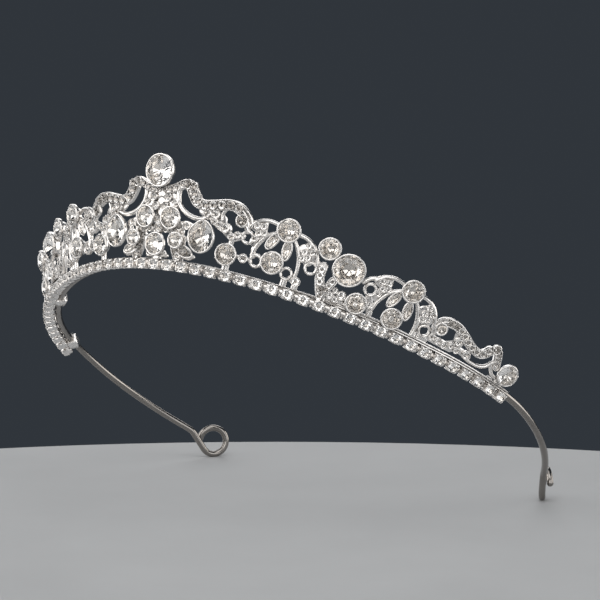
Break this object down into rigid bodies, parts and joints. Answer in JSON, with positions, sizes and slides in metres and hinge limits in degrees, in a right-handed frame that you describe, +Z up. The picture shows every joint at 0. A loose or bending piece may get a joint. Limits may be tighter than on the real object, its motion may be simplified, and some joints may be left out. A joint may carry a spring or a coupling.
{
  "type": "bridal tiara",
  "caption": "Crystal bridal tiara: openwork scroll and fan castings with round, pear and leaf stones on a cup strip, carried by a springy headband wire that ends in pin loops.",
  "frame": {"origin": "centre of the head opening, in the band's plane", "axes": "+Z up as worn, -Y the front of the tiara, +X to the wearer's left"},
  "size_m": [0.1488, 0.0983, 0.0936],
  "materials": {
    "plated_setting": "bright silver-coloured plating, polished, with cast texture between the stones",
    "band_wire": "drawn spring wire, plated, a little darker than the settings",
    "crystal": "clear faceted glass with a silver foil back"
  },
  "bodies": {
    "root": {"headband_wire": "band_wire", "cup_strip": "plated_setting", "base_rail": "plated_setting", "front_tab_left": "plated_setting", "front_tab_right": "plated_setting", "end_tab_left": "plated_setting", "end_tab_right": "plated_setting", "centre_crest": "plated_setting", "scroll_arm_left": "plated_setting", "scroll_arm_right": "plated_setting", "inner_fan_left": "plated_setting", "inner_fan_right": "plated_setting", "middle_cluster_left": "plated_setting", "middle_cluster_right": "plated_setting", "outer_fan_left": "plated_setting", "outer_fan_right": "plated_setting", "end_scroll_left": "plated_setting", "end_scroll_right": "plated_setting", "top_stone": "crystal", "lower_centre_stone": "crystal", "crest_round_stone_left": "crystal", "crest_round_stone_right": "crystal", "leg_stone_left": "crystal", "leg_stone_right": "crystal", "foot_stone_left": "crystal", "foot_stone_right": "crystal", "pear_stone_left": "crystal", "pear_stone_right": "crystal", "low_round_stone_left": "crystal", "low_round_stone_right": "crystal", "curl_stone_left": "crystal", "curl_stone_right": "crystal", "inner_fan_top_stone_left": "crystal", "inner_fan_top_stone_right": "crystal", "inner_fan_left_leaf_stone_left": "crystal", "inner_fan_left_leaf_stone_right": "crystal", "inner_fan_right_leaf_stone_left": "crystal", "inner_fan_right_leaf_stone_right": "crystal", "inner_fan_low_stone_left": "crystal", "inner_fan_low_stone_right": "crystal", "middle_small_stone_left": "crystal", "middle_small_stone_right": "crystal", "middle_big_stone_left": "crystal", "middle_big_stone_right": "crystal", "middle_low_stone_left": "crystal", "middle_low_stone_right": "crystal", "outer_fan_top_stone_left": "crystal", "outer_fan_top_stone_right": "crystal", "outer_fan_left_leaf_stone_left": "crystal", "outer_fan_left_leaf_stone_right": "crystal", "outer_fan_right_leaf_stone_left": "crystal", "outer_fan_right_leaf_stone_right": "crystal", "outer_fan_low_stone_left": "crystal", "outer_fan_low_stone_right": "crystal", "end_curl_stone_left": "crystal", "end_curl_stone_right": "crystal", "end_stone_left": "crystal", "end_stone_right": "crystal"}
  },
  "joints": []
}
